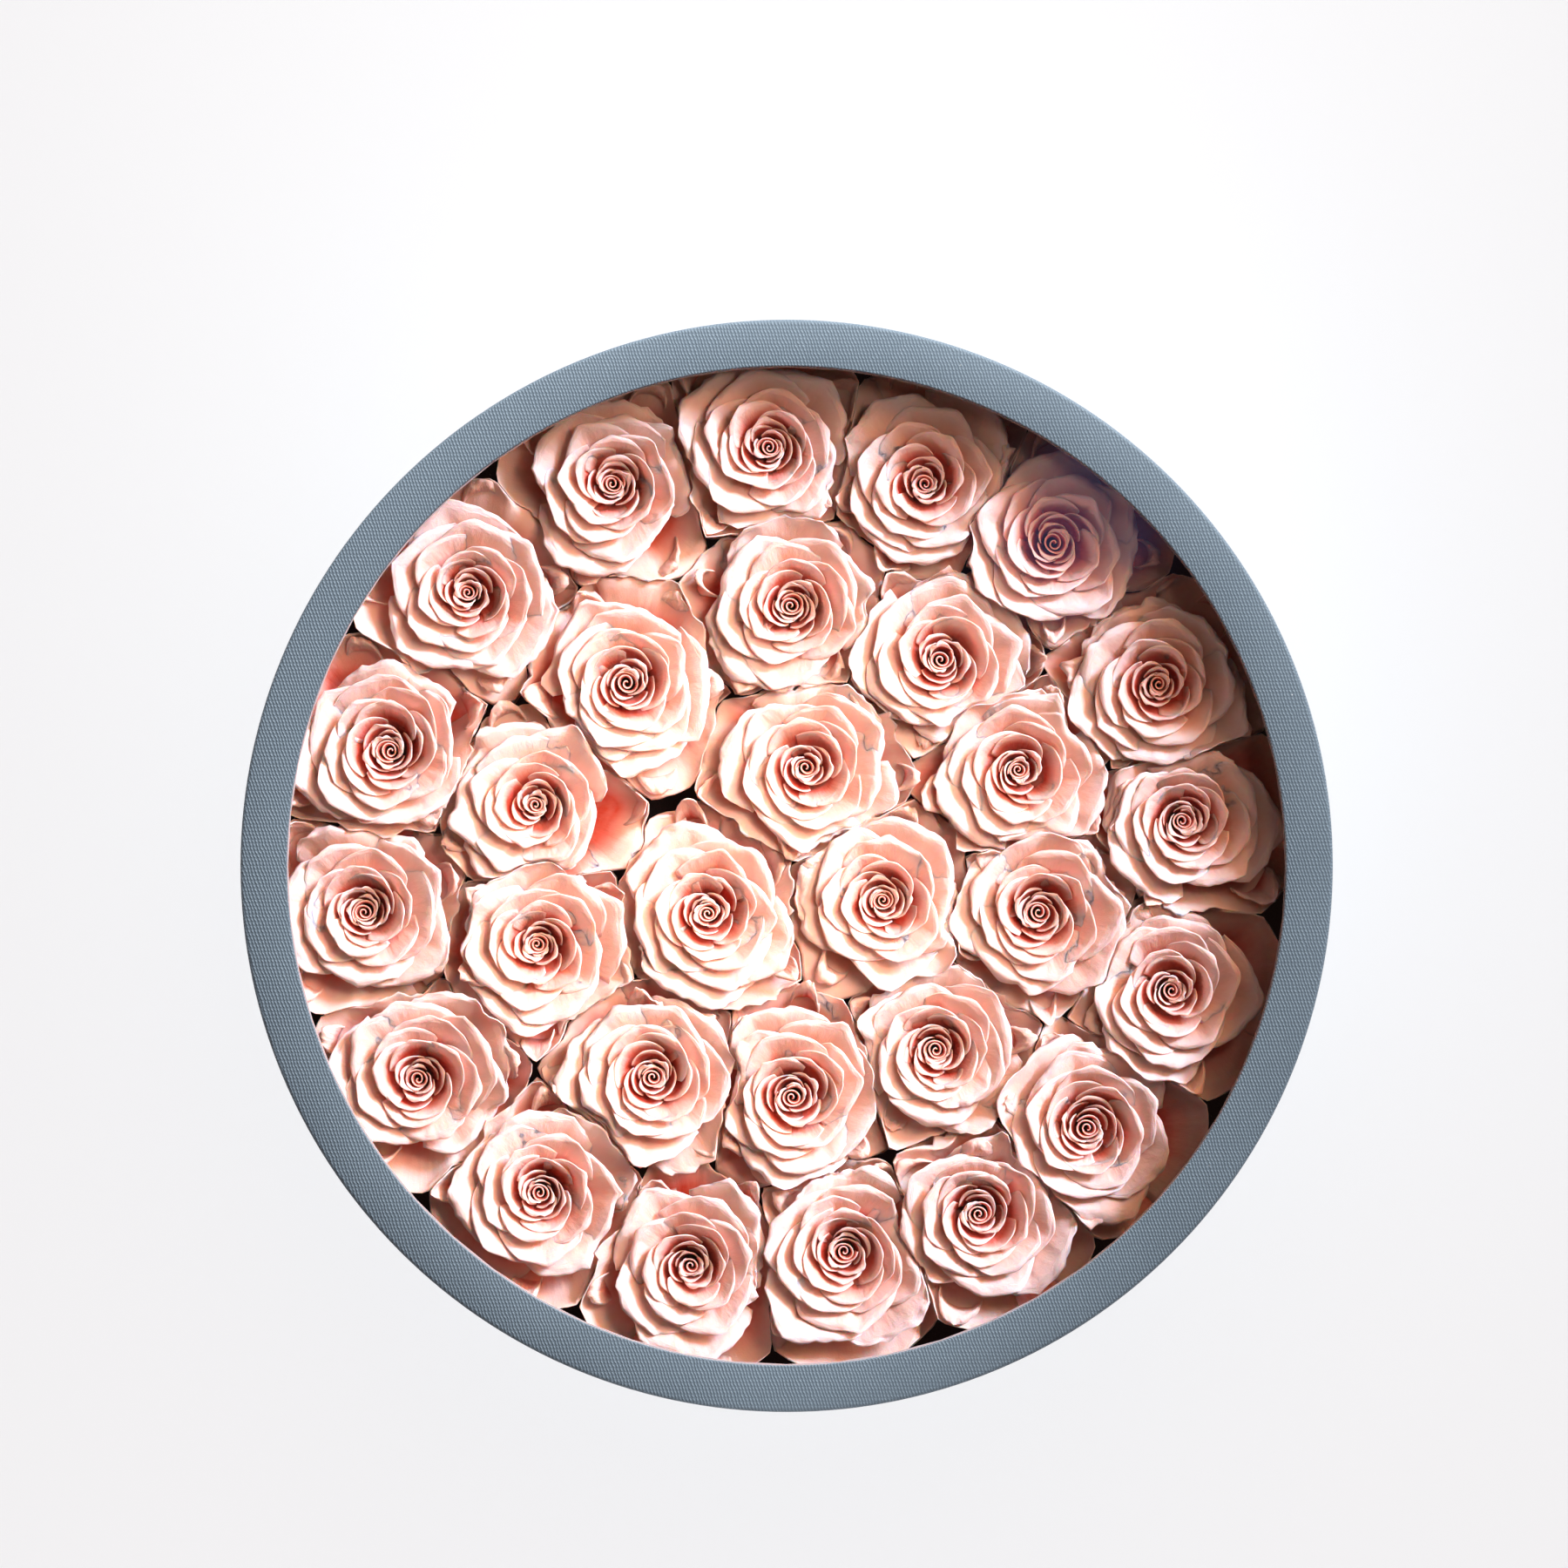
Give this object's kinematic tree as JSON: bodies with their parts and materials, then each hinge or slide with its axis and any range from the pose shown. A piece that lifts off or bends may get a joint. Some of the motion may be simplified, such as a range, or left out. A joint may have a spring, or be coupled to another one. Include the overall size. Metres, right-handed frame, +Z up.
{
  "type": "flower hat box",
  "caption": "Round paper-covered box filled with preserved rose heads, closed by a lid with a clear window.",
  "frame": {"origin": "middle of the box's underside", "axes": "+Z up through the window, +X to the picture's right, +Y to the picture's top"},
  "size_m": [0.35, 0.35, 0.11],
  "materials": {
    "embossed_paper": "blue-grey paper with a fine slanted grain pressed into it, slightly glossy",
    "black_card": "matt black",
    "grey_card": "matt grey board",
    "clear_sheet": "clear glossy sheet",
    "black_foam": "black foam",
    "rose_petal": "soft peach petals with a velvet sheen"
  },
  "bodies": {
    "root": {"base_wall": "embossed_paper", "base_floor": "embossed_paper", "lid_frame": "embossed_paper", "lining": "black_card", "window_ring": "grey_card", "window_sheet": "clear_sheet", "foam_block": "black_foam", "rose_01": "rose_petal", "rose_02": "rose_petal", "rose_03": "rose_petal", "rose_04": "rose_petal", "rose_05": "rose_petal", "rose_06": "rose_petal", "rose_07": "rose_petal", "rose_08": "rose_petal", "rose_09": "rose_petal", "rose_10": "rose_petal", "rose_11": "rose_petal", "rose_12": "rose_petal", "rose_13": "rose_petal", "rose_14": "rose_petal", "rose_15": "rose_petal", "rose_16": "rose_petal", "rose_17": "rose_petal", "rose_18": "rose_petal", "rose_19": "rose_petal", "rose_20": "rose_petal", "rose_21": "rose_petal", "rose_22": "rose_petal", "rose_23": "rose_petal", "rose_24": "rose_petal", "rose_25": "rose_petal", "rose_26": "rose_petal", "rose_27": "rose_petal", "rose_28": "rose_petal", "rose_29": "rose_petal"}
  },
  "joints": []
}
